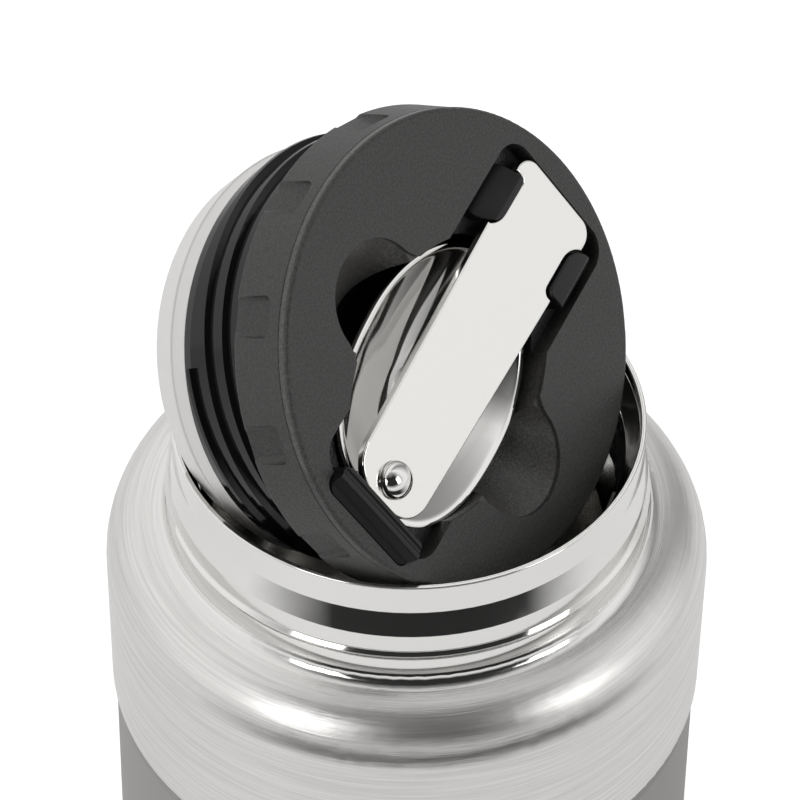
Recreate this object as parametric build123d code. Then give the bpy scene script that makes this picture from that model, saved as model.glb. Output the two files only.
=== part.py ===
from build123d import *
from math import atan2, cos, hypot, radians, sin, tan
import os

# Insulated food jar with its screw stopper lying tilted in the open mouth and a folding
# spoon clipped into the stopper's top. Millimetres, +Z up, origin at the centre of the base.

# ---------------------------------------------------------------- driving sizes: the jar
jar_height = 150.0  # base to rim
body_radius = 50.0  # outside of the steel band
mouth_radius = 37.6  # clear bore just inside the rim
bore_radius = 35.3  # threaded bore below the mouth
mouth_depth = 2.0  # rim to where the bore starts to narrow
bore_depth = 6.0  # rim to the full narrowness
shell_wall = 0.5
liner_wall = 0.4
seam_gap = 0.04  # between sheets that are welded edge to edge
small_round = 0.3  # eased edges of moulded and pressed pieces
fold_round = 1.0  # inner folds of thin sheet
neck_round = 2.0  # soft bends of the neck
lip_round = 0.25  # rounding of the rim's two edges
land_height = 5.5  # straight band below the rim
neck_swell = 0.7  # how much the neck widens below that band
neck_swell_height = 5.0
bead_depth = 14.6  # rim to the rolled bead
bead_out = 0.6  # how far the bead stands out of the neck
bead_half = 0.8  # half of the bead's height
bead_round = 0.4
neck_height = 20.2  # rim to the crease above the shoulder
crease_out = 0.7  # neck's foot, outside the band above the bead
crease_round = 2.5
shoulder_drop = 2.0  # fall of the shoulder from crease to corner
shoulder_flat = 2.1  # straight part of the shoulder, beside the crease
band_foot = 92.3  # height of the steel band's lower edge
band_edge_round = 1.2
waist_step = 2.8  # how far the shell behind the sleeve is drawn in from the band
shell_foot_round = 6.0
foot_opening_margin = 5.8  # from the shell's waist in to the opening in its bottom
foot_height = 3.0  # shell's underside above the ground

# Liner
vacuum_gap = 4.6  # between the liner and the shell's waist
liner_floor = 11.0  # height of the liner's inner floor
liner_floor_round = 9.0
thread_zone = 19.0  # rim to the foot of the threaded bore
seat_narrowing = 2.7  # how much the sealing seat narrows the bore
seat_height = 4.0
throat_height = 2.5  # straight throat below the seat
liner_shoulder = 10.0  # height over which the liner widens below the throat
liner_shoulder_round = 4.0

# Female and male threads
thread_starts = 4
thread_lead = 16.4
thread_height = 1.0
male_thread_height = 0.9
thread_root_width = 2.0
thread_crest_width = 0.7
thread_overlap = 0.25  # how far a thread's foot sinks into its wall
liner_thread_top = 8.6  # rim to the first female thread
liner_thread_span = 7.5
collar_thread_top = 12.4  # face to the highest male thread
collar_thread_span = 13.6
thread_phase = 44.5  # turn of the male threads about the stopper's axis, degrees

# Inner pieces of the vacuum wall
foil_gap = 0.3  # radiation foil wrapped round the liner
foil_wall = 0.15
foil_top_margin = 6.0
getter_radius = 6.0
getter_height = 1.6
getter_offset = 22.0
piece_gap = 0.1  # between neighbouring pieces that sit on each other

# Base
base_wall = 0.6
base_dish = 1.6  # how far the base plate's middle is pressed up
base_dish_margin = 8.4  # from the foot opening in to the dish
base_dish_slope = 2.5  # width of the step round the dish
port_radius = 6.5  # pressed cup of the evacuation port
port_depth = 1.2
port_slope = 1.0
port_hole_radius = 1.6
seal_radius = 4.5
seal_height = 0.9

# Sleeve and foot pad
sleeve_wall = 2.0
sleeve_gap = 0.2  # between the shell's waist and the sleeve
sleeve_bulge = 0.35  # how much the sleeve's middle stands out
sleeve_bulge_round = 60.0
sleeve_top_drop = 2.1  # height of the slope at the sleeve's top
sleeve_top_chamfer = 0.85  # how much that slope draws the sleeve in
sleeve_lip_width = 7.0
sleeve_ground_gap = 0.4
sleeve_foot_round = 3.0
pad_margin = 0.5
pad_hollow = 1.0  # how far the pad's middle stands off the ground
pad_ring_width = 8.5  # pad's standing ring, from its outer edge inwards

# ---------------------------------------------------------------- driving sizes: the stopper
stopper_radius = 37.8  # face plate
face_thickness = 1.7
face_edge_round = 0.8
cap_height = 10.9  # face to the grip ring's lower edge
cap_draft = 0.9  # how much wider the grip ring is at its lower edge
cap_wall = 2.3
cap_edge_round = 0.4
grip_count = 12
grip_width = 6.6
grip_depth = 1.3  # at a scoop's closed end
grip_run_out = 0.5  # depth left at the ring's lower edge
grip_top = 4.0  # face to the closed end of a grip scoop
grip_phase = 2.2  # degrees from the spoon's line to the first scoop
collar_radius = 34.0  # root of the male thread
collar_wall = 2.0
collar_top = 6.0  # face to the collar's upper edge
collar_foot = 26.2  # face to the foot of the straight threaded wall
collar_bevel_height = 2.0
collar_bevel = 0.4  # how much the collar narrows below the threads
gasket_band_radius = 33.4
gasket_band_height = 3.4
gasket_groove = 0.25  # shallow groove round the gasket's band
gasket_foot_radius = 30.7
gasket_wall = 2.2
gasket_foot_round = 1.0
stopper_height = 38.3
base_plate_thickness = 1.4
base_plate_dish = 0.5
cup_wall = 1.6  # collar's cup and floor

# Recess in the stopper's face
spoon_line = -0.9  # sideways place of the spoon and its recess
channel_tip = 33.4
channel_heel = -32.4
channel_half_width = 14.1
channel_depth = 3.6
channel_corner = 4.4
lobe_offset = 19.8  # recess line to the middle of a finger lobe
lobe_radius = 9.4
lobe_floor_offset = 12.8  # the lobes lean inwards as they go down
lobe_floor_radius = 4.7
lobe_depth = 11.0
lobe_flare = 7.5
lobe_rim = 0.8  # upright wall above the lobes' slopes
pan_clearance = 1.4  # around the spoon's bowl
pan_depth = 15.0
pan_floor_round = 4.0
tray_wall = 1.5

# Spoon
handle_top = 0.4  # handle's upper side above the stopper's face
handle_thickness = 1.2
handle_tip = 33.0
handle_heel = -29.9
handle_tip_half = 9.8
handle_heel_half = 8.0
handle_tip_corner = 3.0
handle_heel_corner = 5.8
handle_edge_round = 0.35
notch_front = 29.2  # notch for the clips, measured along the handle
notch_back = 18.2
notch_depth = 2.2
notch_corner = 1.2
notch_ramp_round = 4.2  # the notch's other corner, where the handle slides in
rivet_x = -25.6
rivet_radius = 1.5
rivet_play = 0.05  # running clearance of the handle on the rivet
rivet_head_radius = 3.1
rivet_head_flank = 0.35
rivet_head_height = 1.6
rivet_foot_radius = 2.7
rivet_foot_height = 0.7
rivet_end_play = 0.08
washer_radius = 4.0
washer_thickness = 0.5
tang_thickness = 1.0
tang_heel_half = 5.6
tang_front_half = 13.2
tang_front = -21.5
tang_corner = 3.6
web_length = 5.0  # slope between the tang and the bowl
web_half_width = 15.2  # where the web meets the bowl
web_overlap = 1.0  # how far the web runs back into the tang
bowl_heel = -29.7  # bowl's end at the rivet
bowl_half_length = 24.0
bowl_half_width = 17.6
bowl_depth = 9.6
bowl_wall = 0.8
bowl_rim_drop = 1.7  # tang's top down to the bowl's rim at its centre
bowl_pitch = 2.6  # degrees, the bowl's front hangs lower

# Clips of the recess
clip_height = 1.0  # above the face
clip_play = 0.35  # between a clip and the handle's notch
clip_width = 5.4
clip_edge_round = 0.6
clip_groove = 0.3
heel_clip_length = 4.7
heel_clip_crest = 2.7  # length of the clip's flat crest
heel_clip_half_width = 10.4
heel_clip_leg_half = 9.0  # leg that stands in the channel's end
heel_clip_height = 2.0
heel_flank_share = 0.3  # flank's height halfway up its run, of the clip's height
heel_clip_seat = 1.1  # how deep the clip's head sits in the face
heel_clip_corner = 2.0
heel_clip_round = 0.5
heel_clip_gap = 0.4
heel_groove_radius = 0.6

# Foam in the stopper
foam_gap = 0.4

# Place of the stopper: face centre from the rim's centre, and how it leans
lean_x = 8.48
lean_y = -7.23
lean_rise = 21.85
lean_tilt = 59.54  # stopper's axis from upright, degrees
lean_azimuth = -36.18  # direction it leans towards
lean_spin = 17.2  # spoon's line from level

# ---------------------------------------------------------------- worked-out sizes
waist_radius = body_radius - waist_step
foot_opening_radius = waist_radius - foot_opening_margin
base_dish_radius = foot_opening_radius - base_dish_margin
shell_lip_radius = mouth_radius + liner_wall + seam_gap + shell_wall
neck_radius = shell_lip_radius + neck_swell
crease_radius = neck_radius + crease_out
shoulder_run = body_radius - crease_radius
shoulder_turn = atan2(shoulder_run, shoulder_drop)
shoulder_round = (hypot(shoulder_run, shoulder_drop) - shoulder_flat) / tan(shoulder_turn / 2)
liner_radius = waist_radius - shell_wall - vacuum_gap
seat_radius = bore_radius - seat_narrowing
sleeve_inner = waist_radius + sleeve_gap
sleeve_radius = sleeve_inner + sleeve_wall
handle_bottom = handle_top - handle_thickness
washer_top = handle_bottom - rivet_end_play
tang_top = washer_top - washer_thickness
tang_bottom = tang_top - tang_thickness
bowl_x = bowl_heel + bowl_half_length
lobe_x = bowl_x
bowl_rim = tang_top - bowl_rim_drop
cap_inner = stopper_radius - cap_wall
collar_inner = collar_radius - collar_wall
collar_low_radius = collar_radius - collar_bevel
gasket_top = collar_foot + collar_bevel_height + piece_gap
gasket_cone_top = gasket_top + gasket_band_height
gasket_inner_top = gasket_band_radius - gasket_wall
gasket_inner_foot = gasket_foot_radius - gasket_wall
heel_clip_front = handle_heel - heel_clip_gap
heel_clip_back = heel_clip_front - heel_clip_length
notch_middle = (notch_front + notch_back) / 2


def turned(*corners):
    """Solid of revolution about Z: corners are (radius, height) or (radius, height, rounding)."""
    points = [(corner[0], 0, corner[1]) for corner in corners]
    roundings = [corner[2] if len(corner) > 2 else 0 for corner in corners]
    return revolve(make_face(FilletPolyline(*points, radius=roundings, close=True)), Axis.Z)


def cylinder(radius, low, high):
    return Pos(0, 0, low) * extrude(Circle(radius), high - low)


def threads(radius, top, span, height, inward, phase):
    """Separate thread ridges, one for each start, on a wall of the given radius."""
    out = -1 if inward else 1
    foot = -thread_overlap * out
    tip = height * out
    ridges = []
    for start in range(thread_starts):
        path = Helix(thread_lead, span, radius)
        section = Polyline(
            (foot, -thread_root_width / 2),
            (tip, -thread_crest_width / 2),
            (tip, thread_crest_width / 2),
            (foot, thread_root_width / 2),
            close=True,
        )
        plane = Plane(origin=path @ 0, x_dir=(1, 0, 0), z_dir=path % 0)
        ridge = sweep(plane * make_face(section), path=path, is_frenet=True)
        turn = phase + start * 360 / thread_starts
        ridges.append(Pos(0, 0, top - span) * Rot(0, 0, turn) * ridge)
    return ridges


# ---------------------------------------------------------------- jar
def shell_solid(inset):
    """The shell's outer form, drawn in by the inset; the top and bottom planes stay put."""
    low = foot_height + inset
    rim = jar_height
    bead = rim - bead_depth
    waist = waist_radius - inset
    band = body_radius - inset
    neck = neck_radius - inset
    lip = shell_lip_radius - inset
    crease = rim - neck_height - inset
    return turned(
        (0, low),
        (waist, low, shell_foot_round - inset),
        (waist, band_foot + inset),
        (band, band_foot + inset, max(band_edge_round - inset, seam_gap)),
        (band, crease - shoulder_drop, shoulder_round - inset),
        (crease_radius - inset, crease, crease_round + inset),
        (neck + crease_out / 2, bead - bead_half, bead_round),
        (neck + bead_out, bead, small_round),
        (neck, bead + bead_half, bead_round),
        (neck, rim - land_height - neck_swell_height, neck_round),
        (lip, rim - land_height, neck_round),
        (lip, rim, 0 if inset else lip_round),
        (0, rim),
    )


def make_outer_shell():
    shell = shell_solid(0) - shell_solid(shell_wall)
    return shell - cylinder(foot_opening_radius, 0, foot_height + 2 * shell_wall)


def wall_lift(out, run, rise):
    """Height between the corners of a wall's two sides, where an upright meets a slope."""
    return out * (hypot(run, rise) - rise) / run


def liner_solid(out):
    """The liner's inner form, swollen by the given amount."""
    rim = jar_height
    mouth_drop = wall_lift(out, mouth_radius - bore_radius, bore_depth - mouth_depth)
    seat_drop = wall_lift(out, seat_narrowing, seat_height)
    belly_lift = wall_lift(out, liner_radius - seat_radius, liner_shoulder)
    seat_top = rim - thread_zone
    throat_top = seat_top - seat_height
    throat_foot = throat_top - throat_height
    belly_top = throat_foot - liner_shoulder
    return turned(
        (0, liner_floor - out),
        (liner_radius + out, liner_floor - out, liner_floor_round + out),
        (liner_radius + out, belly_top + belly_lift, liner_shoulder_round + out),
        (seat_radius + out, throat_foot + belly_lift, fold_round),
        (seat_radius + out, throat_top - seat_drop, fold_round),
        (bore_radius + out, seat_top - seat_drop, fold_round),
        (bore_radius + out, rim - bore_depth - mouth_drop, fold_round),
        (mouth_radius + out, rim - mouth_depth - mouth_drop, fold_round),
        (mouth_radius + out, rim),
        (0, rim),
    )


def make_inner_liner():
    liner = liner_solid(liner_wall) - liner_solid(0)
    rim_edges = liner.edges().filter_by(GeomType.CIRCLE).sort_by(Axis.Z)[-2:]
    mouth_edge = rim_edges.sort_by(SortBy.RADIUS)[0]
    liner = fillet(mouth_edge, lip_round)
    top = jar_height - liner_thread_top
    for ridge in threads(bore_radius, top, liner_thread_span, thread_height, True, 0):
        liner += ridge
    return liner


def make_radiation_foil():
    low = liner_floor + liner_floor_round
    throat_foot = jar_height - thread_zone - seat_height - throat_height
    high = throat_foot - liner_shoulder - foil_top_margin
    inner = liner_radius + liner_wall + foil_gap
    return cylinder(inner + foil_wall, low, high) - cylinder(inner, low, high)


def make_getter():
    top = liner_floor - liner_wall - piece_gap
    pill = Pos(0, getter_offset, top - getter_height) * extrude(Circle(getter_radius), getter_height)
    return fillet(pill.edges().sort_by(Axis.Z)[0], small_round)


def make_base_plate():
    low = foot_height
    edge = foot_opening_radius - seam_gap
    middle = low + base_dish
    cup = middle - port_depth
    slope = base_dish_radius + base_dish_slope
    return turned(
        (port_hole_radius, cup),
        (port_radius, cup, small_round),
        (port_radius + port_slope, middle, small_round),
        (base_dish_radius, middle, fold_round),
        (slope, low, fold_round),
        (edge, low),
        (edge, low + base_wall),
        (slope - small_round, low + base_wall, fold_round),
        (base_dish_radius - small_round, middle + base_wall, fold_round),
        (port_radius + port_slope + small_round, middle + base_wall, small_round),
        (port_radius - small_round, cup + base_wall, small_round),
        (port_hole_radius, cup + base_wall),
    )


def make_port_seal():
    low = foot_height + base_dish - port_depth + base_wall + piece_gap
    drop = Pos(0, 0, low) * extrude(Circle(seal_radius), seal_height)
    return fillet(drop.edges().sort_by(Axis.Z)[-1], seal_height / 2)


def make_grip_sleeve():
    low = sleeve_ground_gap
    top = band_foot - 2 * piece_gap
    middle = (low + top) / 2
    lip_inner = sleeve_inner - sleeve_lip_width
    lip_top = foot_height - piece_gap
    return turned(
        (lip_inner, low, small_round),
        (sleeve_radius, low, sleeve_foot_round),
        (sleeve_radius + sleeve_bulge, middle, sleeve_bulge_round),
        (sleeve_radius, top - sleeve_top_drop, small_round),
        (sleeve_radius - sleeve_top_chamfer, top),
        (sleeve_inner, top),
        (sleeve_inner, lip_top, shell_foot_round),
        (lip_inner, lip_top, small_round),
    )


def make_base_pad():
    radius = sleeve_inner - sleeve_lip_width - pad_margin
    top = foot_height - piece_gap
    recess = radius - pad_ring_width - pad_hollow
    return turned(
        (0, pad_hollow),
        (recess, pad_hollow, small_round),
        (recess + pad_hollow, 0, small_round),
        (radius, 0, small_round),
        (radius, top, small_round),
        (0, top),
    )


# ---------------------------------------------------------------- stopper, face at z = 0, axis Z
def grip_scoop(angle):
    """Cutter for one finger scoop: deepest at its closed end, open at the ring's lower edge."""
    floor_top = stopper_radius - grip_depth
    floor_low = stopper_radius + cap_draft - grip_run_out
    slope = (floor_low - floor_top) / (cap_height - grip_top)
    past = cap_height + grip_depth
    wide = stopper_radius + cap_draft + grip_depth
    section = Polyline(
        (floor_top, -grip_top),
        (wide, -grip_top),
        (wide, -past),
        (floor_low + slope * grip_depth, -past),
        close=True,
    )
    block = extrude(Plane.XZ * make_face(section), grip_width / 2, both=True)
    closed_end = block.edges().filter_by(Axis.Y).sort_by(Axis.X)[0]
    block = fillet(closed_end, grip_depth / 2)
    corners = block.edges().filter_by(Axis.X).group_by(Axis.Z)[-1]
    return Rot(0, 0, angle) * fillet(corners, grip_depth)


def make_stopper_cap():
    top = -face_thickness - piece_gap
    wide = stopper_radius + cap_draft
    ring = turned(
        (cap_inner, top),
        (stopper_radius, top, small_round),
        (wide, -cap_height, cap_edge_round),
        (cap_inner, -cap_height, small_round),
    )
    for scoop in range(grip_count):
        ring -= grip_scoop(grip_phase + scoop * 360 / grip_count)
    return ring


def make_stopper_collar():
    tuck = cap_inner - piece_gap
    below_cap = -cap_height - piece_gap
    low = -collar_foot - collar_bevel_height
    floor = -stopper_height + base_plate_thickness + piece_gap
    cup_top = gasket_inner_top - cup_wall
    cup_foot = gasket_inner_foot - cup_wall
    collar = turned(
        (0, floor),
        (gasket_inner_foot, floor, small_round),
        (gasket_inner_top, -gasket_cone_top, small_round),
        (gasket_inner_top, low),
        (collar_low_radius, low, small_round),
        (collar_radius, -collar_foot, small_round),
        (collar_radius, below_cap),
        (tuck, below_cap),
        (tuck, -collar_top),
        (collar_inner, -collar_top),
        (collar_inner, -collar_foot + collar_wall),
        (cup_top, -collar_foot + collar_wall, small_round),
        (cup_top, -gasket_cone_top, small_round),
        (cup_foot, floor + cup_wall, small_round),
        (0, floor + cup_wall),
    )
    top = -collar_thread_top
    for ridge in threads(collar_radius, top, collar_thread_span, male_thread_height, False, thread_phase):
        collar += ridge
    return collar


def make_seal_gasket():
    top = -gasket_top
    inner_top = gasket_inner_top + piece_gap
    inner_foot = gasket_inner_foot + piece_gap
    foot = -stopper_height
    groove_radius = gasket_band_radius - gasket_groove
    lip = gasket_groove + small_round
    return turned(
        (inner_top, top),
        (gasket_band_radius, top, small_round / 2),
        (gasket_band_radius, top - lip),
        (groove_radius, top - lip - gasket_groove, small_round / 2),
        (groove_radius, -gasket_cone_top + gasket_groove, small_round / 2),
        (gasket_band_radius, -gasket_cone_top, small_round),
        (gasket_foot_radius, foot, gasket_foot_round),
        (inner_foot, foot),
        (inner_foot, foot + base_plate_thickness + piece_gap),
        (inner_top, -gasket_cone_top),
    )


def make_stopper_base_plate():
    radius = gasket_inner_foot - piece_gap
    foot = -stopper_height
    ring = radius - cup_wall
    return turned(
        (0, foot + base_plate_dish),
        (ring - 2 * base_plate_dish, foot + base_plate_dish, small_round),
        (ring, foot, small_round),
        (radius, foot, small_round),
        (radius, foot + base_plate_thickness),
        (0, foot + base_plate_thickness),
    )


def channel_plan(grow):
    length = channel_tip - channel_heel + 2 * grow
    middle = (channel_tip + channel_heel) / 2
    width = 2 * (channel_half_width + grow)
    return Pos(middle, spoon_line) * RectangleRounded(length, width, channel_corner + grow)


def lobed_plan(grow):
    """Plan of the channel with its two finger lobes, grown outwards."""
    plan = channel_plan(grow)
    half = channel_half_width + grow
    radius = lobe_radius + grow
    for side in (-1, 1):
        plan += Pos(lobe_x, spoon_line + side * lobe_offset) * Circle(radius)
    corners = [
        vertex
        for vertex in plan.vertices()
        if abs(abs(vertex.Y - spoon_line) - half) < seam_gap and abs(vertex.X - lobe_x) < radius
    ]
    return fillet(corners, lobe_flare - grow)


def lobe_funnel(side, grow):
    """Finger lobe that leans inwards and narrows from the face down."""
    mouth = Pos(lobe_x, spoon_line + side * lobe_offset, -lobe_rim) * Circle(lobe_radius + grow)
    floor_place = Pos(lobe_x, spoon_line + side * lobe_floor_offset, -lobe_depth - grow)
    return loft([mouth, floor_place * Circle(lobe_floor_radius + grow)])


def recess_solid(grow):
    """Everything hollowed out of the face for the spoon, grown outwards."""
    drop = channel_depth + grow
    rim = lobe_rim + grow
    clearance = pan_clearance + grow
    pan = extrude(Ellipse(bowl_half_length + clearance, bowl_half_width + clearance), pan_depth + grow)
    pan = fillet(pan.edges().sort_by(Axis.Z)[0], pan_floor_round + grow)
    hollow = Pos(0, 0, -drop) * extrude(channel_plan(grow), drop)
    hollow += Pos(0, 0, -rim) * extrude(lobed_plan(grow), rim)
    hollow += Pos(bowl_x, spoon_line, -pan_depth - grow) * pan
    for side in (-1, 1):
        hollow += lobe_funnel(side, grow)
    return hollow


def make_spoon_tray():
    disc = turned(
        (0, 0),
        (stopper_radius, 0, face_edge_round),
        (stopper_radius, -face_thickness),
        (0, -face_thickness),
    )
    wall = recess_solid(tray_wall) & cylinder(collar_inner - foam_gap, -pan_depth - 2 * tray_wall, 0)
    shoulder = recess_solid(tray_wall) & cylinder(cap_inner - foam_gap, -collar_top + piece_gap, 0)
    tray = disc + wall + shoulder - recess_solid(0)
    return tray - heel_clip_head(heel_clip_gap / 2)


def make_stopper_foam():
    floor = -stopper_height + base_plate_thickness + cup_wall + foam_gap
    top = -pan_depth - tray_wall - foam_gap
    narrow = gasket_inner_foot - cup_wall - foam_gap
    middle = gasket_inner_top - cup_wall - foam_gap
    wide = collar_inner - foam_gap
    step = -collar_foot + collar_wall + foam_gap
    return turned(
        (0, floor),
        (narrow, floor, small_round),
        (middle, -gasket_cone_top, small_round),
        (middle, step),
        (wide, step),
        (wide, top, small_round),
        (0, top),
    )


# ---------------------------------------------------------------- clips
def handle_half_width(x):
    share = (x - handle_heel) / (handle_tip - handle_heel)
    return handle_heel_half + share * (handle_tip_half - handle_heel_half)


def notch_plan(side, play, width, outer_roundings):
    """Plan of the notch on one side of the handle, drawn in by the play and of the given width."""
    floor = handle_half_width(notch_middle) - notch_depth + play
    half = (notch_front - notch_back) / 2 - play
    outline = FilletPolyline(
        (-half, floor),
        (half, floor),
        (half, floor + width),
        (-half, floor + width),
        radius=[notch_ramp_round - play, notch_corner, *outer_roundings],
        close=True,
    )
    turn = 0 if side > 0 else 180
    return Pos(notch_middle, spoon_line) * Rot(0, 0, turn) * make_face(outline)


def make_side_clip(side):
    low = -channel_depth + piece_gap
    outer_roundings = (notch_ramp_round - clip_play, notch_corner)
    plan = notch_plan(side, clip_play, clip_width, outer_roundings)
    block = Pos(0, 0, low) * extrude(plan, clip_height - low)
    block = fillet(block.edges().group_by(Axis.Z)[-1], clip_edge_round)
    length = notch_front - notch_back
    middle = handle_half_width(notch_middle) + clip_groove
    groove = Pos(notch_middle, spoon_line + side * middle, clip_height)
    return block - groove * Box(length, clip_groove, 2 * clip_groove)


def heel_clip_head(grow):
    """Upper part of the heel clip, set into the face; grown for its pocket."""
    length = heel_clip_length + 2 * grow
    width = 2 * (heel_clip_half_width + grow)
    middle = (heel_clip_front + heel_clip_back) / 2
    plan = Pos(middle, spoon_line) * RectangleRounded(length, width, heel_clip_corner)
    low = heel_clip_seat + grow
    return Pos(0, 0, -low) * extrude(plan, low + heel_clip_height)


def make_heel_clip():
    crest = heel_clip_front - heel_clip_crest
    bend = (crest + heel_clip_back) / 2
    outline = FilletPolyline(
        (heel_clip_back, -heel_clip_seat),
        (heel_clip_back, 0),
        (bend, heel_clip_height * heel_flank_share),
        (crest, heel_clip_height),
        (heel_clip_front, heel_clip_height),
        (heel_clip_front, -heel_clip_seat),
        radius=[0, 0, heel_clip_height / 2, heel_clip_round, heel_clip_round, 0],
        close=True,
    )
    profile = Plane.XZ * make_face(outline)
    ramp = Pos(0, spoon_line) * extrude(profile, heel_clip_half_width, both=True)
    head = ramp & heel_clip_head(0)
    leg_back = channel_heel + heel_clip_gap / 2
    leg_size = (heel_clip_front - leg_back, 2 * heel_clip_leg_half, channel_depth - piece_gap)
    leg = Pos(leg_back, spoon_line) * Box(*leg_size, align=(Align.MIN, Align.CENTER, Align.MAX))
    groove = Rot(90, 0, 0) * Cylinder(heel_groove_radius, 2 * heel_clip_half_width)
    groove_place = Pos(heel_clip_front - heel_clip_crest / 2, spoon_line, heel_clip_height)
    return head + leg - groove_place * Pos(0, 0, heel_groove_radius / 2) * groove


# ---------------------------------------------------------------- spoon
def web_section(x, z, half_width):
    """Section of the web between tang and bowl, square to the spoon's line."""
    plane = Plane(origin=(x, spoon_line, z), x_dir=(0, 1, 0), z_dir=(1, 0, 0))
    return plane * RectangleRounded(2 * half_width, tang_thickness - seam_gap, small_round)


def make_spoon_bowl():
    outer = scale(Sphere(1), by=(bowl_half_length, bowl_half_width, bowl_depth))
    inner = scale(
        Sphere(1),
        by=(bowl_half_length - bowl_wall, bowl_half_width - bowl_wall, bowl_depth - bowl_wall),
    )
    above = Pos(0, 0, bowl_depth) * Box(4 * bowl_half_length, 4 * bowl_half_width, 2 * bowl_depth)
    bowl = Pos(bowl_x, spoon_line, bowl_rim) * Rot(0, bowl_pitch, 0) * (outer - inner - above)
    outline = FilletPolyline(
        (handle_heel, -tang_heel_half),
        (tang_front, -tang_front_half),
        (tang_front, tang_front_half),
        (handle_heel, tang_heel_half),
        radius=tang_corner,
        close=True,
    )
    tang = Pos(0, spoon_line, tang_bottom) * extrude(make_face(outline), tang_thickness)
    tang_middle = (tang_bottom + tang_top) / 2
    web = loft(
        [
            web_section(tang_front - web_overlap, tang_middle, tang_front_half - web_overlap),
            web_section(tang_front + web_length, bowl_rim + bowl_wall / 2, web_half_width),
        ]
    )
    spoon = bowl + tang + web
    hole = cylinder(rivet_radius + seam_gap, tang_bottom - 1, tang_top + 1)
    return spoon - Pos(rivet_x, spoon_line, 0) * hole


def make_pivot_rivet():
    head = handle_top + rivet_end_play
    foot = tang_bottom - seam_gap
    rivet = turned(
        (0, foot - rivet_foot_height),
        (rivet_foot_radius, foot - rivet_foot_height, small_round),
        (rivet_foot_radius, foot),
        (rivet_radius, foot),
        (rivet_radius, head),
        (rivet_head_radius, head),
        (rivet_head_radius, head + rivet_head_flank),
        (rivet_head_radius - rivet_head_height, head + rivet_head_height, rivet_head_height),
        (0, head + rivet_head_height),
    )
    return Pos(rivet_x, spoon_line, 0) * rivet


def make_pivot_washer():
    ring = cylinder(washer_radius, tang_top + seam_gap, washer_top)
    ring -= cylinder(rivet_radius + seam_gap, tang_top, washer_top + 1)
    return Pos(rivet_x, spoon_line, 0) * ring


def make_spoon_handle():
    tip = (handle_tip, handle_tip_half)
    heel = (handle_heel, handle_heel_half)
    outline = FilletPolyline(
        (heel[0], -heel[1]),
        (tip[0], -tip[1]),
        (tip[0], tip[1]),
        (heel[0], heel[1]),
        radius=[handle_heel_corner, handle_tip_corner, handle_tip_corner, handle_heel_corner],
        close=True,
    )
    plate = Pos(0, spoon_line) * extrude(make_face(outline), handle_thickness)
    for side in (-1, 1):
        notch = extrude(notch_plan(side, 0, 2 * clip_width, (0, 0)), 3 * handle_thickness)
        plate -= Pos(0, 0, -handle_thickness) * notch
    plate = fillet(plate.edges().group_by(Axis.Z)[-1], handle_edge_round)
    hole = cylinder(rivet_radius + rivet_play, -handle_thickness, 2 * handle_thickness)
    plate -= Pos(rivet_x, spoon_line, 0) * hole
    return Pos(0, 0, handle_bottom) * plate


# ---------------------------------------------------------------- placing and writing
def leaning_plane():
    tilt = radians(lean_tilt)
    azimuth = radians(lean_azimuth)
    spin = radians(lean_spin)
    axis = Vector(sin(tilt) * cos(azimuth), sin(tilt) * sin(azimuth), cos(tilt))
    level = Vector(-sin(azimuth), cos(azimuth), 0)
    along = level * cos(spin) + axis.cross(level) * sin(spin)
    return Plane(origin=(lean_x, lean_y, jar_height + lean_rise), x_dir=along, z_dir=axis)


upright = {
    "outer_shell": make_outer_shell(),
    "inner_liner": make_inner_liner(),
    "radiation_foil": make_radiation_foil(),
    "getter": make_getter(),
    "base_plate": make_base_plate(),
    "port_seal": make_port_seal(),
    "grip_sleeve": make_grip_sleeve(),
    "base_pad": make_base_pad(),
}
leaning = {
    "stopper_cap": make_stopper_cap(),
    "spoon_tray": make_spoon_tray(),
    "stopper_collar": make_stopper_collar(),
    "stopper_foam": make_stopper_foam(),
    "seal_gasket": make_seal_gasket(),
    "stopper_base_plate": make_stopper_base_plate(),
    "left_clip": make_side_clip(1),
    "right_clip": make_side_clip(-1),
    "heel_clip": make_heel_clip(),
    "spoon_bowl": make_spoon_bowl(),
    "pivot_rivet": make_pivot_rivet(),
    "pivot_washer": make_pivot_washer(),
    "spoon_handle": make_spoon_handle(),
}

os.makedirs("parts", exist_ok=True)
place = leaning_plane().location
for name, solid in upright.items():
    export_step(solid, "parts/" + name + ".step")
for name, solid in leaning.items():
    export_step(place * solid, "parts/" + name + ".step")
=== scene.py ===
# %% [markdown]
# # Insulated food jar
# The jar is a double-walled steel flask. Its screw stopper lies tilted in the open mouth, and a folding
# spoon sits in a recess of the stopper's face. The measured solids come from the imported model; this
# file gives them their real surfaces and swaps some for finer shapes. It starts by loading the solids.

# %% Load the measured solids
from math import cos, pi, radians, sin
import bpy
from mathutils import Matrix, Vector


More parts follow.
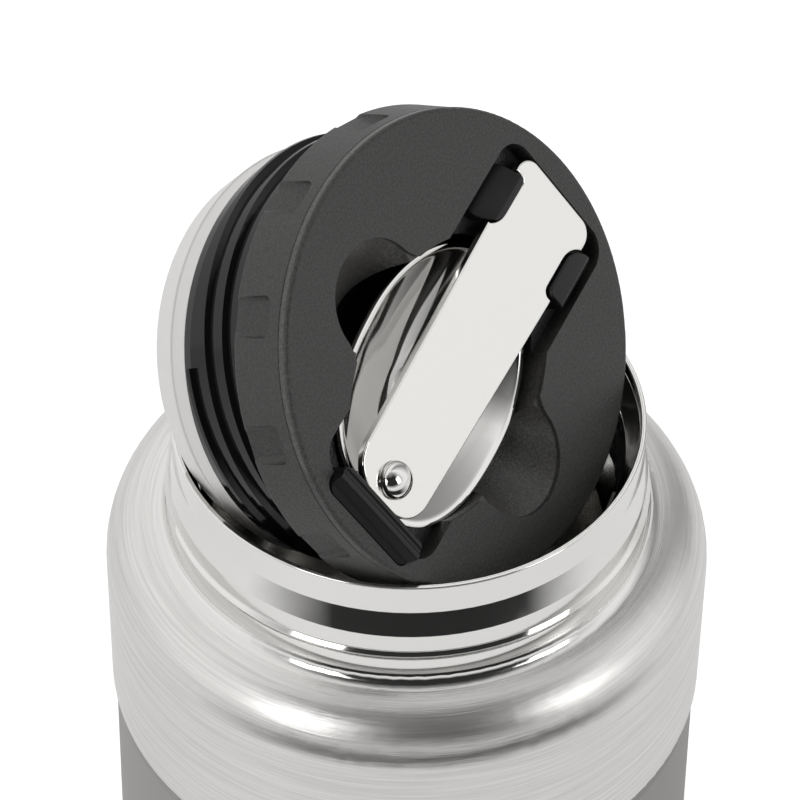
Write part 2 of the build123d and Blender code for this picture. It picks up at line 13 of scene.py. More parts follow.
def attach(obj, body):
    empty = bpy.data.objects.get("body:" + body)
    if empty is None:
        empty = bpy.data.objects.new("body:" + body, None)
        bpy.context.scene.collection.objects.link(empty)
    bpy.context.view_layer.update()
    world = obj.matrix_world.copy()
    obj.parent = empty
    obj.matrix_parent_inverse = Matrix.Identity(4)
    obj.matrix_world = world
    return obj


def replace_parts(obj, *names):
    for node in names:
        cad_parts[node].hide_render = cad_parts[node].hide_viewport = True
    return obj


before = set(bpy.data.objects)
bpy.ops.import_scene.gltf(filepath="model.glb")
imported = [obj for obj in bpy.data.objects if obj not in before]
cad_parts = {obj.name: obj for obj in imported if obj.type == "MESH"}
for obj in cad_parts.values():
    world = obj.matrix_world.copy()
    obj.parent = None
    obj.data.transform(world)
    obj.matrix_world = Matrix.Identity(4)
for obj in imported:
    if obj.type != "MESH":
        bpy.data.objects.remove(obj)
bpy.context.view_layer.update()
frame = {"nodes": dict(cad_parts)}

nodes = frame["nodes"]

# %% [markdown]
# ## Smooth shading
# A solid arrives as loose triangles, so light breaks on every facet. Welding the triangles and splitting
# only the sharp edges lets round faces look round. Weighting the normals by face area keeps a straight
# wall straight up to its rounded edge. All are modifiers, so the measured mesh stays as it is.

# %% Shade the solids smoothly
WELD_REACH, SHARP_FROM = 1e-6, radians(30)


def soften(piece):
    """Round faces of a measured solid are shaded smooth, sharp edges stay crisp."""
    weld = piece.modifiers.new("weld", "WELD")
    weld.merge_threshold = WELD_REACH
    split = piece.modifiers.new("crisp edges", "EDGE_SPLIT")
    split.split_angle = SHARP_FROM
    piece.data.shade_smooth()
    even = piece.modifiers.new("even normals", "WEIGHTED_NORMAL")
    even.weight, even.thresh, even.mode = 90, 0.01, "FACE_AREA"


for solid in nodes.values():
    soften(solid)
print("shaded smooth:", ", ".join(nodes))

# %% [markdown]
# ## Where the stopper lies
# The stopper leans on the rim: its face centre is right of and in front of the jar's axis, its own axis
# is tipped 59.5 degrees, and it is turned so that the spoon's line rises to the right. A matrix of its
# three axes lets new pieces be drawn flat and then laid on its face in one step.

# %% The stopper's own axes
JAR_HEIGHT = 0.150
LEAN_PLACE = Vector((0.00848, -0.00723, JAR_HEIGHT + 0.02185))
LEAN_TILT, LEAN_AZIMUTH, LEAN_SPIN = radians(59.54), radians(-36.18), radians(17.2)
lean_x, lean_y = sin(LEAN_TILT) * cos(LEAN_AZIMUTH), sin(LEAN_TILT) * sin(LEAN_AZIMUTH)
stopper_axis = Vector((lean_x, lean_y, cos(LEAN_TILT)))
level = Vector((-sin(LEAN_AZIMUTH), cos(LEAN_AZIMUTH), 0))
along = level * cos(LEAN_SPIN) + stopper_axis.cross(level) * sin(LEAN_SPIN)
across = stopper_axis.cross(along)
lean = Matrix((along, across, stopper_axis)).transposed().to_4x4()
lean.translation = LEAN_PLACE
unlean = lean.inverted()
print("stopper axis:", [round(v, 3) for v in stopper_axis])

# %% [markdown]
# ## Tools for the materials
# Colours are written as sRGB hex values and turned to linear light by one function. Every pattern
# starts from Object coordinates in millimetres, either the jar's own or the stopper's own.

# %% Colour and node helpers
def linear(colour):
    """An sRGB hex colour as the linear values that a socket takes."""
    channels = [int(colour[i:i + 2], 16) / 255 for i in (1, 3, 5)]
    return [c / 12.92 if c <= 0.04045 else ((c + 0.055) / 1.055) ** 2.4 for c in channels] + [1.0]


def add(tree, kind, sockets=(), **settings):
    """Adds a node: settings are its properties, sockets are (input, constant or output to link)."""
    made = tree.nodes.new("ShaderNode" + kind)
    for name, value in settings.items():
        setattr(made, name, value)
    for name, value in sockets:
        if isinstance(value, bpy.types.NodeSocket):
            tree.links.new(value, made.inputs[name])
        else:
            made.inputs[name].default_value = value
    return made


def ramp(value, low, high, to_low, to_high):
    """Sockets that make a Map Range node turn low to high of the value into to_low to to_high."""
    ends = [("From Min", low), ("From Max", high), ("To Min", to_low), ("To Max", to_high)]
    return [("Value", value)] + ends


# %% Material helpers
def finish(name, colour, metallic=0.0, roughness=0.5, **constants):
    """A new material with a Principled shader set to these constants."""
    material = bpy.data.materials.new(name)
    material.use_nodes = True
    shader = material.node_tree.nodes["Principled BSDF"]
    shader.inputs["Base Color"].default_value = linear(colour)
    shader.inputs["Metallic"].default_value = metallic
    shader.inputs["Roughness"].default_value = roughness
    for socket, value in constants.items():
        shader.inputs[socket.replace("_", " ")].default_value = value
    return material, material.node_tree, shader


def millimetres(tree, leaning=False):
    """Object coordinates in millimetres, of the jar or of the leaning stopper."""
    place = add(tree, "TexCoord").outputs["Object"]
    if leaning:
        turn = [("Vector", place), ("Location", unlean.translation), ("Rotation", unlean.to_euler())]
        place = add(tree, "Mapping", turn).outputs["Vector"]
    scaled = [("Vector", place), ("Scale", (1000, 1000, 1000))]
    return add(tree, "Mapping", scaled).outputs["Vector"]


def dress(material, *names):
    """Gives the material to measured solids."""
    for name in names:
        nodes[name].data.materials.clear()
        nodes[name].data.materials.append(material)
    print(material.name + ":", ", ".join(names))


# %% [markdown]
# ## Steel
# The shell is drawn from 18/8 stainless sheet. Its shoulder and band are brushed round the axis with a
# belt, so highlights spread up and down the wall; the neck is buffed to a near mirror. Scratches could
# be noise stretched along an angle, but an angle jumps at the back. So noise is stretched in x and y
# and squeezed along radius minus height, which has no seam and turns with the surface.

# %% Lines round the axis
def turning_lines(tree, place, length, width):
    """Noise drawn out round the axis: lines this long and this wide, in millimetres."""
    parts = add(tree, "SeparateXYZ", [("Vector", place)]).outputs
    flat = add(tree, "VectorMath", [(0, place), (1, (1, 1, 0))], operation="MULTIPLY").outputs[0]
    radius = add(tree, "VectorMath", [(0, flat)], operation="LENGTH").outputs["Value"]
    down = add(tree, "Math", [(0, radius), (1, parts["Z"])], operation="SUBTRACT").outputs[0]
    turned = add(tree, "CombineXYZ", [("X", parts["X"]), ("Y", parts["Y"]), ("Z", down)]).outputs[0]
    pattern = [("Vector", turned), ("Scale", (1 / length, 1 / length, 1 / width))]
    drawn = add(tree, "Mapping", pattern).outputs["Vector"]
    return add(tree, "TexNoise", [("Vector", drawn), ("Scale", 1.0), ("Detail", 3.0)]).outputs["Fac"]


# %% Brushed stainless steel of the shell
# Belt brushing gives a soft, streaky shine that breaks up round the wall, with a few darker streaks.
BRIGHT_STEEL, STREAK_STEEL = "#E4E3E1", "#BDBBB9"
LINE_LENGTH, LINE_WIDTH = 14, 0.22  # a grit 180 belt cuts finer lines, these are drawn to show
BAND_LENGTH, BAND_WIDTH = 40, 0.7  # broader marks where passes of the belt overlap
BRUSHED_TO, BUFFED_FROM = 129.0, 130.4  # heights at the foot of the neck
BUFFED_ROUGH, BRUSHED_MORE = 0.07, 0.24

steel, tree, shader = finish("stainless steel, belt brushed", BRIGHT_STEEL, 1.0, 0.3, Anisotropic=0.5)
place = millimetres(tree)
lines = turning_lines(tree, place, LINE_LENGTH, LINE_WIDTH)
bands = turning_lines(tree, place, BAND_LENGTH, BAND_WIDTH)
both = add(tree, "Math", [(0, lines), (1, bands)], operation="ADD").outputs[0]
height = add(tree, "SeparateXYZ", [("Vector", place)]).outputs["Z"]
brushed = add(tree, "MapRange", ramp(height, BRUSHED_TO, BUFFED_FROM, 1.0, 0.0)).outputs["Result"]
more = [(0, brushed), (1, BRUSHED_MORE), (2, BUFFED_ROUGH)]
rough = add(tree, "Math", more, operation="MULTIPLY_ADD").outputs[0]
tree.links.new(rough, shader.inputs["Roughness"])
dark = add(tree, "MapRange", ramp(both, 0.75, 1.2, 0.0, 0.5)).outputs["Result"]
streak = add(tree, "Math", [(0, dark), (1, brushed)], operation="MULTIPLY").outputs[0]
tone = [("Factor", streak), ("A", linear(BRIGHT_STEEL)), ("B", linear(STREAK_STEEL))]
mixed = add(tree, "Mix", tone, data_type="RGBA")
tree.links.new(mixed.outputs["Result"], shader.inputs["Base Color"])

# %% Depth of the brushed lines
LINE_HEIGHT, LINE_STRENGTH = 0.0001, 0.35

strength = add(tree, "Math", [(0, brushed), (1, LINE_STRENGTH)], operation="MULTIPLY").outputs[0]
bump = add(tree, "Bump", [("Height", lines), ("Strength", strength), ("Distance", LINE_HEIGHT)])
tree.links.new(bump.outputs["Normal"], shader.inputs["Normal"])
round_axis = add(tree, "Tangent", direction_type="RADIAL", axis="Z")
tree.links.new(round_axis.outputs["Tangent"], shader.inputs["Tangent"])
dress(steel, "outer_shell")

# %% Steel of the liner and the hidden sheet parts
# The liner is buffed and mirrors its surroundings; pressed sheet stays dull and faintly lined.
buffed, tree, shader = finish("stainless steel, buffed", "#E2E1DF", 1.0, 0.12)
lines = turning_lines(tree, millimetres(tree), 30, 0.4)
rough = add(tree, "MapRange", ramp(lines, 0.3, 0.7, 0.09, 0.16)).outputs["Result"]
tree.links.new(rough, shader.inputs["Roughness"])
dress(buffed, "inner_liner")

pressed, tree, shader = finish("stainless steel, pressed sheet", "#BDBCB9", 1.0, 0.34)
lines = turning_lines(tree, millimetres(tree), 40, 0.6)
rough = add(tree, "MapRange", ramp(lines, 0.3, 0.7, 0.28, 0.42)).outputs["Result"]
tree.links.new(rough, shader.inputs["Roughness"])
dress(pressed, "base_plate", "radiation_foil", "getter", "port_seal")

# %% [markdown]
# ## Rubber and plastics
# The sleeve is grey silicone, the cap a dark fine-grained polypropylene moulding, the collar glossy
# black, the gasket milky silicone. A spark-eroded mould leaves a grain on the plastic. It could be
# painted as an image, but noise of the grain's real size has no edges and fits every piece.

# %% Grain
def grain(tree, place, size, low, high):
    """Fine mould grain of this size in millimetres, as a value between low and high."""
    fine = add(tree, "TexNoise", [("Vector", place), ("Scale", 1 / size), ("Detail", 2.0)]).outputs["Fac"]
    return add(tree, "MapRange", ramp(fine, 0.35, 0.65, low, high)).outputs["Result"]


def roughen(tree, shader, place, size, depth):
    """Raises the surface by a grain of this size and depth in millimetres."""
    height = grain(tree, place, size, 0.0, 1.0)
    bump = add(tree, "Bump", [("Height", height), ("Strength", 1.0), ("Distance", depth / 1000)])
    tree.links.new(bump.outputs["Normal"], shader.inputs["Normal"])


def speckle(tree, shader, colour, tone):
    """Multiplies the colour by a tone that varies over the surface."""
    grey = add(tree, "VectorMath", [(0, linear(colour)[:3]), ("Scale", tone)], operation="SCALE")
    tree.links.new(grey.outputs["Vector"], shader.inputs["Base Color"])


# %% Sleeve and pad
# Moulded silicone scatters light evenly, so the sleeve looks soft and matte; the pad is duller still.
silicone, tree, shader = finish("silicone rubber, moulded matte", "#9A9896", 0.0, 0.62)
roughen(tree, shader, millimetres(tree), 0.4, 0.006)
dress(silicone, "grip_sleeve")

rubber, tree, shader = finish("black rubber, moulded", "#232323", 0.0, 0.7)
roughen(tree, shader, millimetres(tree), 0.5, 0.01)
dress(rubber, "base_pad")

# %% Face of the stopper
# The grain gives a dry sparkle. Below the face the channel is smoother, because the mould's core was
# polished. Its colour is darkened there as painted shade, and the two finger lobes beside it are
# lightened as painted light.
SPOON_LINE = -0.0009  # the spoon's middle line, across the stopper's face
CAP_GREY, CAP_GRAIN, SPECK = "#383736", 0.45, 0.42
CHANNEL_HALF, LOBE_FROM = 13.6, 15.5  # millimetres to either side of the spoon's line
# painted shade in the channel and painted light on the lobes, as factors on the grey
CHANNEL_PAINTED_SHADE, LOBE_PAINTED_LIGHT = 0.6, 1.7

cap_grey, tree, shader = finish("polypropylene, fine spark grain", CAP_GREY, 0.0, 0.45)
place = millimetres(tree, True)
roughen(tree, shader, place, CAP_GRAIN, 0.035)
parts = add(tree, "SeparateXYZ", [("Vector", place)]).outputs
centred = add(tree, "Math", [(0, parts["Y"]), (1, -1000 * SPOON_LINE)], operation="ADD").outputs[0]
aside = add(tree, "Math", [(0, centred)], operation="ABSOLUTE").outputs[0]
# Below the face the grey is darkened in the channel as painted shade and lightened on the lobes as
# painted light.
edge = ramp(aside, CHANNEL_HALF, LOBE_FROM, CHANNEL_PAINTED_SHADE, LOBE_PAINTED_LIGHT)
hollow = add(tree, "MapRange", edge).outputs["Result"]
sunk = add(tree, "MapRange", ramp(parts["Z"], -0.9, -0.6, 1.0, 0.0)).outputs["Result"]
shade = add(tree, "Mix", [("Factor", sunk), ("A", 1.0), ("B", hollow)]).outputs["Result"]
specks = grain(tree, place, SPECK, 0.68, 1.32)
tone = add(tree, "Math", [(0, specks), (1, shade)], operation="MULTIPLY").outputs[0]
speckle(tree, shader, CAP_GREY, tone)
rough = add(tree, "MapRange", ramp(parts["Z"], -1.0, -0.3, 0.34, 0.5)).outputs["Result"]
tree.links.new(rough, shader.inputs["Roughness"])
dress(cap_grey, "spoon_tray")

# %% Grip ring of the stopper
# The same grain with less contrast, because the ring's side is seen at a flatter angle.
ring_grey, tree, shader = finish("polypropylene, fine spark grain, ring", CAP_GREY, 0.0, 0.46)
place = millimetres(tree, True)
roughen(tree, shader, place, CAP_GRAIN, 0.035)
speckle(tree, shader, CAP_GREY, grain(tree, place, SPECK, 0.75, 1.25))
dress(ring_grey, "stopper_cap")

# %% Collar, gasket, clips and foam
# A polished mould gives the collar sharp reflections with a slight waviness. Milky silicone lets light
# in a little. The clips are glossy, but softer than the collar. Foam is a pale crust of beads.
gloss_black, tree, shader = finish(
    "polypropylene, polished mould", "#0F0F0F", 0.0, 0.1, Specular_IOR_Level=0.35)
roughen(tree, shader, millimetres(tree, True), 2.5, 0.006)
dress(gloss_black, "stopper_collar")

milky, tree, shader = finish("silicone, milky", "#DEDDDB", 0.0, 0.34, Subsurface_Weight=0.3)
shader.inputs["Subsurface Radius"].default_value = (0.003, 0.003, 0.0028)
roughen(tree, shader, millimetres(tree, True), 0.8, 0.004)
dress(milky, "seal_gasket", "stopper_base_plate")

clip_black, tree, shader = finish(
    "polypropylene, black clip", "#121212", 0.0, 0.33, Specular_IOR_Level=0.35)
roughen(tree, shader, millimetres(tree, True), 0.6, 0.006)
dress(clip_black, "heel_clip")

foam, tree, shader = finish("polystyrene foam", "#E9E6DC", 0.0, 0.8)
roughen(tree, shader, millimetres(tree, True), 2.5, 0.2)
dress(foam, "stopper_foam")

# %% Spoon
# The bowl is polished to a mirror, and its steel is darkened deep inside as painted shade, so that it
# looks deeper. The handle is satin: it still shines, but its reflections are blurred.
MIRROR_STEEL, BOWL_PAINTED_SHADE, SATIN_STEEL = "#E6E5E3", "#C6C5C3", "#E9E8E5"
INSIDE_DEEP, INSIDE_HIGH = -5.0, -3.2  # millimetres below the stopper's face

mirror, tree, shader = finish("stainless steel, mirror polish", MIRROR_STEEL, 1.0, 0.04)
place = millimetres(tree, True)
tree.links.new(grain(tree, place, 6.0, 0.03, 0.07), shader.inputs["Roughness"])
below = add(tree, "SeparateXYZ", [("Vector", place)]).outputs["Z"]
# Painted shade: the steel is darkened from the rim down into the bowl.
inside = add(tree, "MapRange", ramp(below, INSIDE_DEEP, INSIDE_HIGH, 1.0, 0.0)).outputs["Result"]
tone = [("Factor", inside), ("A", linear(MIRROR_STEEL)), ("B", linear(BOWL_PAINTED_SHADE))]
mixed = add(tree, "Mix", tone, data_type="RGBA")
tree.links.new(mixed.outputs["Result"], shader.inputs["Base Color"])
dress(mirror, "pivot_washer")

satin, tree, shader = finish("stainless steel, satin", SATIN_STEEL, 1.0, 0.14)
fine = grain(tree, millimetres(tree, True), 0.3, 0.1, 0.16)
tree.links.new(fine, shader.inputs["Roughness"])
dress(satin, "spoon_handle")

# %% [markdown]
# ## The spoon's bowl
# The bowl is deep-drawn from one sheet, so its inside is one smooth hollow under a narrow flat lip. It
# could be a sphere cut in half, but the real outline is fuller at the pivot. So an ellipse is widened
# there, and rings are extruded from it, each smaller, deeper and further forward.

# %% Tools for modelling
def select_where(piece, test):
    """Selects the points of the piece in edit mode that pass the test."""
    bpy.ops.object.mode_set(mode="OBJECT")
    for part in (piece.data.polygons, piece.data.edges):
        for item in part:
            item.select = False
    for point in piece.data.vertices:
        point.select = test(point.co)
    bpy.ops.object.mode_set(mode="EDIT")


def turn_faces_out():
    """Points every face of the piece in edit mode outwards and leaves edit mode."""
    bpy.ops.mesh.select_all(action="SELECT")
    bpy.ops.mesh.normals_make_consistent(inside=False)
    bpy.ops.object.mode_set(mode="OBJECT")


# %% Tools for finishing a piece
def ease(piece, width, segments, angle):
    """Rounds the edges that are sharper than the angle."""
    eased = piece.modifiers.new("eased edges", "BEVEL")
    eased.width, eased.segments = width, segments
    eased.limit_method, eased.angle_limit = "ANGLE", radians(angle)


def apply_modifiers(piece):
    """Makes the modifiers part of the mesh."""
    for modifier in list(piece.modifiers):
        bpy.ops.object.modifier_apply(modifier=modifier.name)


def settle(piece, name, matrix, material):
    """Names the finished piece, puts its place into its mesh and gives it its material."""
    piece.name = piece.data.name = name
    piece.matrix_world = matrix
    bpy.ops.object.transform_apply(location=True, rotation=True, scale=True)
    piece.data.materials.append(material)
    bpy.ops.object.shade_smooth_by_angle(angle=radians(40))
    print(name, "faces:", len(piece.data.polygons))


# %% Outline of the bowl
BOWL_LENGTH, BOWL_WIDTH = 0.024, 0.0176  # half of each
HEEL_FULLNESS = 2.5  # 2 is an ellipse, more is fuller

bpy.ops.object.select_all(action="DESELECT")
bpy.ops.mesh.primitive_circle_add(vertices=96, radius=1)
bowl = bpy.context.object
bpy.ops.object.mode_set(mode="EDIT")
bpy.ops.transform.resize(value=(BOWL_LENGTH, BOWL_WIDTH, 1))
bpy.ops.object.mode_set(mode="OBJECT")
stations = sorted({round(v.co.x, 6) for v in bowl.data.vertices if v.co.x < -1e-5})
for station in stations[1:]:
    share = -station / BOWL_LENGTH
    fuller = (1 - share ** HEEL_FULLNESS) ** (1 / HEEL_FULLNESS) / (1 - share ** 2) ** 0.5
    select_where(bowl, lambda co: abs(co.x - station) < 2e-6)
    bpy.ops.transform.resize(value=(1, fuller, 1))
print("bowl outline:", len(bowl.data.vertices), "points,", len(stations) - 1, "stations widened")

# %% Hollow of the bowl
BOWL_DEPTH, SHEET, BOWL_SHIFT = 0.0096, 0.0008, 0.0010
LIP, WALL = (0.970, 0.959), (0.967, 0.955)  # shares of the outline's length and width
BOWL_FORM = 1.7  # 2 would be a parabola, less makes the flanks straighter
RING_SHARES = (0.99, 0.96, 0.90, 0.82, 0.73, 0.64, 0.55, 0.46, 0.37, 0.28, 0.19, 0.10)

rings = [(*LIP, 0.0)] + [(WALL[0] * s, WALL[1] * s, 1 - s ** BOWL_FORM) for s in RING_SHARES]
bpy.ops.mesh.select_all(action="SELECT")
size, depth = (1.0, 1.0), 0.0
for long, wide, deep in rings:
    bpy.ops.mesh.extrude_edges_move()
    bpy.ops.transform.resize(value=(long / size[0], wide / size[1], 1))
    down, forward = (deep - depth) * (BOWL_DEPTH - SHEET), (deep - depth) * BOWL_SHIFT
    bpy.ops.transform.translate(value=(forward, 0, -down))
    size, depth = (long, wide), deep
bpy.ops.mesh.edge_face_add()
bpy.ops.mesh.poke()
turn_faces_out()
if bowl.data.polygons[0].normal.z < 0:
    bowl.data.flip_normals()
print("bowl hollow:", len(rings), "rings")

# %% Sheet of the bowl
BOWL_X, BOWL_RIM, BOWL_PITCH = -0.0057, -0.0031, radians(2.6)  # on the stopper's face

smooth = bowl.modifiers.new("smooth", "SUBSURF")
smooth.levels = smooth.render_levels = 1
thick = bowl.modifiers.new("sheet", "SOLIDIFY")
thick.thickness, thick.offset = SHEET, -1
ease(bowl, 0.00015, 2, 60)
apply_modifiers(bowl)
pitch = Matrix.Rotation(BOWL_PITCH, 4, "Y")
place_bowl = lean @ Matrix.Translation((BOWL_X, SPOON_LINE, BOWL_RIM)) @ pitch
settle(bowl, "bowl_shell", place_bowl, mirror)
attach(bowl, "spoon")
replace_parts(bowl, "spoon_bowl")

# %% [markdown]
# ## The pivot tongue and the rivet
# A tongue of sheet lies over the bowl's heel and carries the pivot. Its eased edge shows as a thin
# bright line beside the handle. The rivet could be a lathed curve; here a circle is extruded ring by
# ring, up over its domed head and then down along its stem to its foot.

# %% Tongue
TONGUE_TOP, TONGUE_HEEL, TONGUE_FRONT, TONGUE_HALF = -0.00142, -0.0294, -0.0150, 0.0069
TONGUE_SHEET, TONGUE_CORNER, TONGUE_TAPER = 0.0007, 0.0052, 0.9

bpy.ops.object.select_all(action="DESELECT")
bpy.ops.mesh.primitive_plane_add(size=1)
tongue = bpy.context.object
bpy.ops.object.mode_set(mode="EDIT")
bpy.ops.transform.resize(value=(TONGUE_FRONT - TONGUE_HEEL, 2 * TONGUE_HALF, 1))
select_where(tongue, lambda co: co.x > 0)
bpy.ops.transform.resize(value=(1, TONGUE_TAPER, 1))
bpy.ops.mesh.select_all(action="SELECT")
bpy.ops.mesh.bevel(offset=TONGUE_CORNER, segments=12, affect="VERTICES")
bpy.ops.mesh.select_all(action="SELECT")
bpy.ops.mesh.extrude_region_move(TRANSFORM_OT_translate={"value": (0, 0, -TONGUE_SHEET)})
turn_faces_out()
ease(tongue, 0.00022, 3, 40)
apply_modifiers(tongue)
middle = ((TONGUE_HEEL + TONGUE_FRONT) / 2, SPOON_LINE, TONGUE_TOP)
settle(tongue, "pivot_tongue", lean @ Matrix.Translation(middle), mirror)
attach(tongue, "spoon")

# %% Head of the rivet
RIVET_X, RIVET_HEAD, RIVET_DOME, HEAD_SIDE = -0.0256, 0.0031, 0.0023, 0.0002
HANDLE_TOP = 0.00048
DOME_STEP = 10  # degrees

bpy.ops.object.select_all(action="DESELECT")
bpy.ops.mesh.primitive_circle_add(vertices=72, radius=RIVET_HEAD, location=(0, 0, 0))
rivet = bpy.context.object
bpy.ops.object.mode_set(mode="EDIT")
bpy.ops.transform.translate(value=(0, 0, HANDLE_TOP + HEAD_SIDE))
for bend in range(DOME_STEP, 90, DOME_STEP):
    here, before = radians(bend), radians(bend - DOME_STEP)
    bpy.ops.mesh.extrude_edges_move()
    shrink = cos(here) / cos(before)
    bpy.ops.transform.resize(value=(shrink, shrink, 1))
    rise = (sin(here) - sin(before)) * (RIVET_DOME - HEAD_SIDE)
    bpy.ops.transform.translate(value=(0, 0, rise))
bpy.ops.mesh.edge_face_add()
bpy.ops.mesh.poke()
print("rivet dome:", round(1000 * RIVET_DOME, 2), "mm over the handle")

# %% Stem and foot of the rivet
HEAD_SEAT, STEM, FOOT = 0.00305, 0.0015, 0.0026  # radii
FOOT_TOP, FOOT_END = -0.0024, -0.0031
RIVET_STEPS = (
    (HEAD_SEAT, HANDLE_TOP), (STEM, HANDLE_TOP), (STEM, FOOT_TOP), (FOOT, FOOT_TOP), (FOOT, FOOT_END))

select_where(rivet, lambda co: co.z < HANDLE_TOP + HEAD_SIDE + 1e-5)
for radius, height in RIVET_STEPS:
    bpy.ops.mesh.extrude_edges_move()
    bpy.ops.object.mode_set(mode="OBJECT")
    chosen = [v.co for v in rivet.data.vertices if v.select]
    now = sum(co.xy.length for co in chosen) / len(chosen)
    rise = height - chosen[0].z
    bpy.ops.object.mode_set(mode="EDIT")
    bpy.ops.transform.resize(value=(radius / now, radius / now, 1))
    bpy.ops.transform.translate(value=(0, 0, rise))
bpy.ops.mesh.edge_face_add()
turn_faces_out()
settle(rivet, "rivet", lean @ Matrix.Translation((RIVET_X, SPOON_LINE, 0)), mirror)
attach(rivet, "spoon")
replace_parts(rivet, "pivot_rivet")

# %% [markdown]
# ## The handle's clips
# Each clip is a wedge: a narrow land holds the handle's notch, and the back falls away into the recess.
# One corner is cut round, where the handle slides in. The outline is drawn as a plane with its corners
# bevelled, pushed up into a block, and the back is cut off by one bisecting plane.

# %% Side clips
CLIP_LENGTH, CLIP_WIDTH, CLIP_TOP, CLIP_FOOT = 0.0103, 0.0054, 0.0010, -0.0035
NOTCH_MIDDLE, CLIP_INNER = 0.0237, 0.00768
ENTRY_CORNER, INNER_CORNER, BACK_CORNER = 0.0038, 0.0012, 0.0018
BACK_SLOPE = Vector((0, 0.68, 0.73))


def round_corners(clip, test, radius, segments):
    """Bevels the outline's corners that pass the test."""
    select_where(clip, test)
    bpy.ops.mesh.bevel(offset=radius, segments=segments, affect="VERTICES")


def make_clip(name, turn, land):
    """A wedge clip beside the handle's notch, turned about its middle, with a land of this width."""
    bpy.ops.object.select_all(action="DESELECT")
    bpy.ops.mesh.primitive_plane_add(size=1)
    clip = bpy.context.object
    bpy.ops.object.mode_set(mode="EDIT")
    bpy.ops.transform.resize(value=(CLIP_LENGTH, CLIP_WIDTH, 1))
    bpy.ops.transform.translate(value=(0, CLIP_WIDTH / 2, CLIP_FOOT))
    round_corners(clip, lambda co: co.y < 1e-5 and co.x < 0, ENTRY_CORNER, 10)
    round_corners(clip, lambda co: co.y < 1e-5 and co.x > 0.004, INNER_CORNER, 5)
    round_corners(clip, lambda co: co.y > CLIP_WIDTH - 1e-5, BACK_CORNER, 5)
    bpy.ops.mesh.select_all(action="SELECT")
    bpy.ops.mesh.extrude_region_move(TRANSFORM_OT_translate={"value": (0, 0, CLIP_TOP - CLIP_FOOT)})
    bpy.ops.mesh.select_all(action="SELECT")
    bpy.ops.mesh.bisect(
        plane_co=(0, land, CLIP_TOP), plane_no=BACK_SLOPE, use_fill=True, clear_outer=True)
    turn_faces_out()
    ease(clip, 0.0003, 3, 30)
    apply_modifiers(clip)
    notch = Matrix.Translation((NOTCH_MIDDLE, SPOON_LINE, 0)) @ Matrix.Rotation(turn, 4, "Z")
    settle(clip, name, lean @ notch @ Matrix.Translation((0, CLIP_INNER, 0)), clip_black)
    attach(clip, "stopper")
    return clip


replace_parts(make_clip("clip_above_handle", 0, 0.0013), "left_clip")
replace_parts(make_clip("clip_below_handle", pi, 0.0036), "right_clip")

# %% [markdown]
# ## Camera, light and floor
# The camera stands half a metre in front and above. The room is a white tent with a darker gap on the
# camera's side, two large soft panels and a white floor. Plain white all round would light the jar as
# well, but polished steel would then show no form.

# %% Camera
CAMERA_PLACE = (-0.001424, -0.481588, 0.627197)
CAMERA_TURN = (45.4479, -0.5221, 0.5140)  # degrees

scene = bpy.context.scene
lens = bpy.data.cameras.new("camera")
lens.lens, lens.sensor_width = 188.74, 36.0
camera = bpy.data.objects.new("camera", lens)
camera.location = CAMERA_PLACE
camera.rotation_euler = [radians(a) for a in CAMERA_TURN]
scene.collection.objects.link(camera)
scene.camera = camera
scene.view_settings.view_transform = "Standard"
print("camera lens:", round(lens.lens, 1), "mm")

# %% Soft panels
def from_jar(azimuth, elevation, distance):
    """A place seen from the rim at this azimuth from the camera's side and this elevation."""
    a, e = radians(azimuth), radians(elevation)
    way = Vector((sin(a) * cos(e), -cos(a) * cos(e), sin(e)))
    return way * distance + Vector((0, 0, JAR_HEIGHT))


def panel(name, azimuth, elevation, distance, width, height, strength):
    """A soft panel that faces the jar's rim."""
    data = bpy.data.lights.new(name, "AREA")
    data.shape, data.size, data.size_y = "RECTANGLE", width, height
    data.energy = strength * pi * width * height
    lamp = bpy.data.objects.new(name, data)
    lamp.location = from_jar(azimuth, elevation, distance)
    way = lamp.location - Vector((0, 0, JAR_HEIGHT))
    lamp.rotation_euler = way.to_track_quat("Z", "Y").to_euler()
    scene.collection.objects.link(lamp)
    print(name, round(data.energy, 2), "W")


panel("left panel", -36, 26, 1.0, 0.35, 0.45, 3.6)
panel("right panel", 60, 26, 1.0, 0.3, 0.45, 3.2)

# %% The tent round the jar
# The gap, a slit behind the jar and a patch overhead are darker, and the camera itself sees white.
GAP_LEFT, GAP_RIGHT, GAP_FOOT, GAP_TOP = -50, 70, 9, 62  # degrees, 0 is the camera's side
GAP_SOFT, GAP_SOFT_UP = 20, 8
SLIT_LEFT, SLIT_RIGHT, SLIT_SOFT = 118, 152, 14
PATCH_FOOT, PATCH_TOP, PATCH_SOFT = 52, 84, 9
TENT_WHITE, GAP_DARK, SHADED = 0.98, 0.03, 0.3


def between(tree, angle, low, high, soft):
    """1 where the angle lies between low and high degrees, falling to 0 over the soft width."""
    rise = ramp(angle, radians(low - soft), radians(low + soft), 0.0, 1.0)
    fall = ramp(angle, radians(high - soft), radians(high + soft), 1.0, 0.0)
    inner, outer = (add(tree, "MapRange", side).outputs["Result"] for side in (rise, fall))
    return add(tree, "Math", [(0, inner), (1, outer)], operation="MULTIPLY").outputs[0]


def bearing(tree, parts):
    """The angle of a place round the jar, 0 on the camera's side."""
    backwards = add(tree, "Math", [(0, parts["Y"]), (1, -1.0)], operation="MULTIPLY").outputs[0]
    return add(tree, "Math", [(0, parts["X"]), (1, backwards)], operation="ARCTAN2").outputs[0]


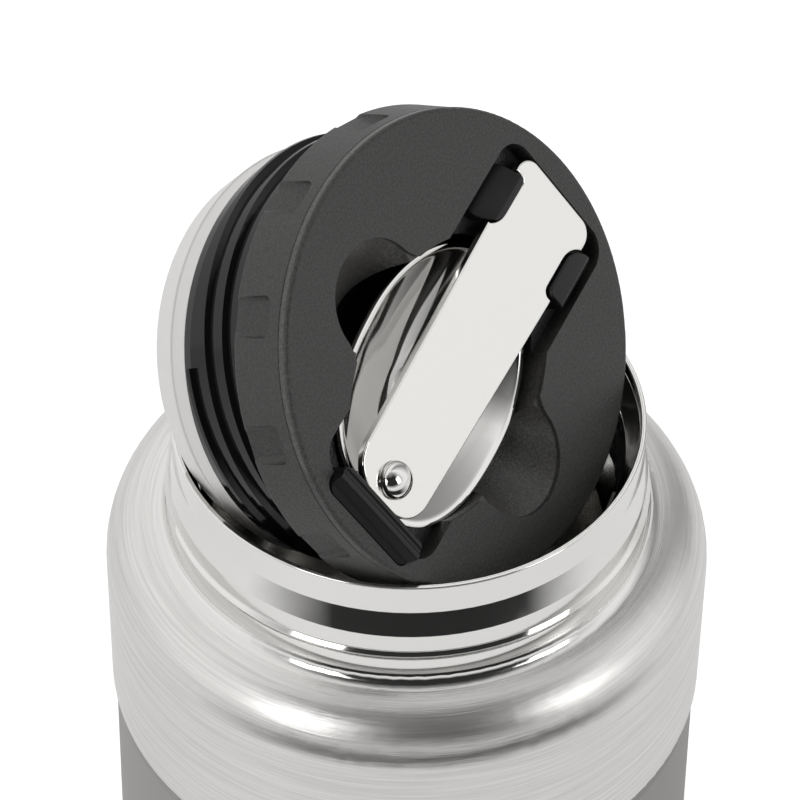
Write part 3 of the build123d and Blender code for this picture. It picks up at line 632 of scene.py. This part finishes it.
world = bpy.data.worlds.new("white room")
world.use_nodes = True
tree = world.node_tree
way = add(tree, "TexCoord").outputs["Generated"]
parts = add(tree, "SeparateXYZ", [("Vector", way)]).outputs
azimuth = bearing(tree, parts)
elevation = add(tree, "Math", [(0, parts["Z"])], operation="ARCSINE").outputs[0]
aside = between(tree, azimuth, GAP_LEFT, GAP_RIGHT, GAP_SOFT)
upright = between(tree, elevation, GAP_FOOT, GAP_TOP, GAP_SOFT_UP)
gap = add(tree, "Math", [(0, aside), (1, upright)], operation="MULTIPLY").outputs[0]
white = add(tree, "MapRange", ramp(gap, 0.0, 1.0, TENT_WHITE, GAP_DARK)).outputs["Result"]
behind = between(tree, azimuth, SLIT_LEFT, SLIT_RIGHT, SLIT_SOFT)
above = between(tree, elevation, PATCH_FOOT, PATCH_TOP, PATCH_SOFT)
dimmed = add(tree, "Math", [(0, above), (1, aside)], operation="MULTIPLY").outputs[0]
either = add(tree, "Math", [(0, behind), (1, dimmed)], operation="MAXIMUM").outputs[0]
shaded = add(tree, "MapRange", ramp(either, 0.0, 1.0, 1.0, SHADED)).outputs["Result"]
tent = add(tree, "Math", [(0, white), (1, shaded)], operation="MULTIPLY").outputs[0]
seen = add(tree, "LightPath").outputs["Is Camera Ray"]
strength = add(tree, "Mix", [("Factor", seen), ("A", tent), ("B", 1.0)]).outputs["Result"]
tree.links.new(strength, tree.nodes["Background"].inputs["Strength"])
tree.nodes["Background"].inputs["Color"].default_value = linear("#FFFFFF")
scene.world = world
print("tent: dark gap from", GAP_LEFT, "to", GAP_RIGHT, "degrees")

# %% Floor
# White paper that the camera sees lifted to white, and that steel mirrors a little brighter.
SEEN_LIFT, MIRRORED_LIFT = 0.5, 0.2

bpy.ops.object.select_all(action="DESELECT")
bpy.ops.mesh.primitive_plane_add(size=6.0)
floor = bpy.context.object
floor.name = "floor"
paper, tree, shader = finish("white paper", "#EFEFEF", 0.0, 0.8)
rays = add(tree, "LightPath").outputs
mirrored = [(0, rays["Is Glossy Ray"]), (1, MIRRORED_LIFT)]
mirrored = add(tree, "Math", mirrored, operation="MULTIPLY").outputs[0]
lift = [(0, rays["Is Camera Ray"]), (1, SEEN_LIFT), (2, mirrored)]
lift = add(tree, "Math", lift, operation="MULTIPLY_ADD").outputs[0]
shader.inputs["Emission Color"].default_value = linear("#FFFFFF")
tree.links.new(lift, shader.inputs["Emission Strength"])
floor.data.materials.append(paper)
print("floor:", [round(v, 1) for v in floor.dimensions])

# %% [markdown]
# ## A black card
# Polished steel shows the room upside down. A black card that lies on the floor before the jar, where
# only reflections see it, draws the dark bands that give the neck and the shoulder their form.

# %% Black card on the floor
CARD_NEAR, CARD_FAR, CARD_SOFT = 0.22, 0.85, 0.03

bpy.ops.mesh.primitive_circle_add(vertices=180, radius=CARD_NEAR, location=(0, 0, 0.001))
card = bpy.context.object
card.name = "black_card"
bpy.ops.object.mode_set(mode="EDIT")
bpy.ops.mesh.extrude_edges_move()
bpy.ops.transform.resize(value=(CARD_FAR / CARD_NEAR,) * 3)
bpy.ops.object.mode_set(mode="OBJECT")
card.visible_camera = card.visible_diffuse = card.visible_shadow = False
black, tree, shader = finish("black card", "#101010", 0.0, 0.9)
place = add(tree, "TexCoord").outputs["Object"]
parts = add(tree, "SeparateXYZ", [("Vector", place)]).outputs
aside = between(tree, bearing(tree, parts), GAP_LEFT, GAP_RIGHT, GAP_SOFT)
far = add(tree, "VectorMath", [(0, place)], operation="LENGTH").outputs["Value"]
near = add(tree, "MapRange", ramp(far, CARD_NEAR, CARD_NEAR + CARD_SOFT, 0.0, 1.0)).outputs["Result"]
solid = add(tree, "Math", [(0, aside), (1, near)], operation="MULTIPLY").outputs[0]
tree.links.new(solid, shader.inputs["Alpha"])
card.data.materials.append(black)
print("card faces:", len(card.data.polygons))
